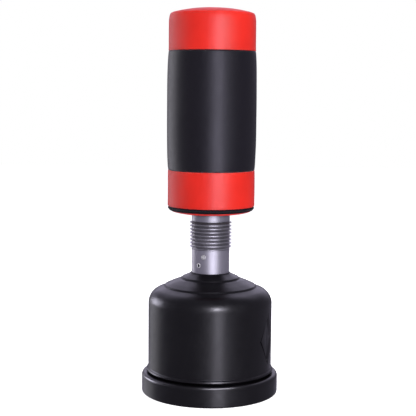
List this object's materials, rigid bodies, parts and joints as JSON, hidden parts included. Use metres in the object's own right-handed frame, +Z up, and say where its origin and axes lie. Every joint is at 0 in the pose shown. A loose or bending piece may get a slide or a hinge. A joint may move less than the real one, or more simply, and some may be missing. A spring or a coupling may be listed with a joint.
{
  "type": "free standing punching bag",
  "caption": "Free-standing punching bag: padded cylindrical bag on a sprung, ribbed neck over a hollow fillable base tank in a wide round foot tray.",
  "frame": {"origin": "centre of the round footprint on the floor", "axes": "+Z up along the neck and the bag, -Y towards the front, +X to the right seen from the front"},
  "size_m": [0.6, 0.6, 1.672],
  "materials": {
    "base_plastic": "satin",
    "cup_rubber": "matte",
    "zinc_steel": "satin",
    "plain_steel": "satin",
    "silver_tube": "satin",
    "bellows_rubber": "satin",
    "spring_steel": "satin",
    "button_chrome": "polished",
    "gasket_rubber": "matte",
    "plywood": "matte",
    "foam_light": "matte",
    "foam_grey": "matte",
    "textile": "matte",
    "leather_red": "satin",
    "leather_black": "satin",
    "zip_fabric": "matte",
    "zip_nylon": "satin",
    "zip_metal": "satin"
  },
  "bodies": {
    "base": {"foot_tray": "base_plastic", "suction_cups": "cup_rubber", "suction_cup_nuts": "zinc_steel", "post_flange": "plain_steel", "flange_bolts": "zinc_steel", "flange_nuts": "zinc_steel", "base_tank": "base_plastic", "base_post": "silver_tube", "neck_sleeve": "silver_tube", "lock_spring": "spring_steel", "lower_spring_plate": "plain_steel", "lower_spring_seat": "plain_steel", "lower_seat_bolts": "zinc_steel", "bellows_lower_cuff": "bellows_rubber", "lower_cuff_clamp": "plain_steel", "neck_spring": "spring_steel"},
    "rib_2": {"bellows_rib_2": "bellows_rubber"},
    "rib_3": {"bellows_rib_3": "bellows_rubber"},
    "rib_4": {"bellows_rib_4": "bellows_rubber"},
    "rib_5": {"bellows_rib_5": "bellows_rubber"},
    "rib_6": {"bellows_rib_6": "bellows_rubber"},
    "rib_7": {"bellows_rib_7": "bellows_rubber"},
    "bag": {"bellows_upper_cuff": "bellows_rubber", "upper_cuff_clamp": "plain_steel", "upper_tube": "silver_tube", "upper_spring_plate": "plain_steel", "upper_spring_seat": "plain_steel", "upper_seat_bolts": "zinc_steel", "support_collar": "plain_steel", "support_plate": "plywood", "support_screws": "zinc_steel", "tube_end_cap": "cup_rubber", "inner_foam": "foam_light", "outer_foam": "foam_grey", "top_foam_pad": "foam_light", "textile_wrap": "textile", "top_panel": "leather_red", "upper_panel": "leather_red", "middle_panel": "leather_black", "lower_panel": "leather_red", "zip_tape": "zip_fabric", "zip_coil": "zip_nylon", "bottom_panel": "leather_red"},
    "lock_button": {"lock_button": "button_chrome"},
    "cap_seal": {"fill_gasket": "gasket_rubber"},
    "cap": {"fill_cap": "base_plastic"},
    "zip_slider": {"zip_slider": "zip_metal"},
    "zip_puller": {"zip_puller": "zip_metal"}
  },
  "joints": [
    {"name": "neck_nod_1", "type": "hinge", "parent": "base", "child": "rib_2", "pos_m": [0, 0, 0.65395], "axis": [1, 0, 0], "range_deg": [-3, 3], "stiffness_Nm_per_rad": 1600, "deforming": ["neck_spring"]},
    {"name": "neck_sway_1", "type": "hinge", "parent": "rib_2", "child": "rib_3", "pos_m": [0, 0, 0.66905], "axis": [0, 1, 0], "range_deg": [-4, 4], "stiffness_Nm_per_rad": 1200, "deforming": ["neck_spring"]},
    {"name": "neck_nod_2", "type": "hinge", "parent": "rib_3", "child": "rib_4", "pos_m": [0, 0, 0.68415], "axis": [1, 0, 0], "range_deg": [-3, 3], "stiffness_Nm_per_rad": 1600, "deforming": ["neck_spring"]},
    {"name": "neck_sway_2", "type": "hinge", "parent": "rib_4", "child": "rib_5", "pos_m": [0, 0, 0.69925], "axis": [0, 1, 0], "range_deg": [-4, 4], "stiffness_Nm_per_rad": 1200, "deforming": ["neck_spring"]},
    {"name": "neck_nod_3", "type": "hinge", "parent": "rib_5", "child": "rib_6", "pos_m": [0, 0, 0.71435], "axis": [1, 0, 0], "range_deg": [-3, 3], "stiffness_Nm_per_rad": 1600, "deforming": ["neck_spring"]},
    {"name": "neck_sway_3", "type": "hinge", "parent": "rib_6", "child": "rib_7", "pos_m": [0, 0, 0.72945], "axis": [0, 1, 0], "range_deg": [-4, 4], "stiffness_Nm_per_rad": 1200, "deforming": ["neck_spring"]},
    {"name": "neck_nod_4", "type": "hinge", "parent": "rib_7", "child": "bag", "pos_m": [0, 0, 0.74455], "axis": [1, 0, 0], "range_deg": [-3, 3], "stiffness_Nm_per_rad": 1600, "deforming": ["neck_spring"]},
    {"name": "button_press", "type": "slide", "parent": "base", "child": "lock_button", "axis": [0.3714, 0.9285, 0], "range_m": [0, 0.0095], "stiffness_N_per_m": 900, "springref_m": -0.004, "deforming": ["lock_spring"]},
    {"name": "cap_lift", "type": "slide", "parent": "base", "child": "cap_seal", "axis": [0, 0, 1], "range_m": [0, 0.008]},
    {"name": "cap_turn", "type": "hinge", "parent": "cap_seal", "child": "cap", "pos_m": [0, 0.165, 0.52], "axis": [0, 0, 1], "range_deg": [0, 720]},
    {"name": "zip_run", "type": "hinge", "parent": "bag", "child": "zip_slider", "pos_m": [0, 0, 0.8165], "axis": [0, 0, 1], "range_deg": [0, 330]},
    {"name": "puller_flip", "type": "hinge", "parent": "zip_slider", "child": "zip_puller", "pos_m": [0, 0.1926, 0.8165], "axis": [1, 0, 0], "range_deg": [0, 150]}
  ],
  "couplings": [
    {"joint": "neck_nod_2", "follows": "neck_nod_1", "ratio": 1},
    {"joint": "neck_sway_2", "follows": "neck_sway_1", "ratio": 1},
    {"joint": "neck_nod_3", "follows": "neck_nod_1", "ratio": 1},
    {"joint": "neck_sway_3", "follows": "neck_sway_1", "ratio": 1},
    {"joint": "neck_nod_4", "follows": "neck_nod_1", "ratio": 1},
    {"joint": "cap_turn", "follows": "cap_lift", "rad_per_m": 1570.8}
  ]
}
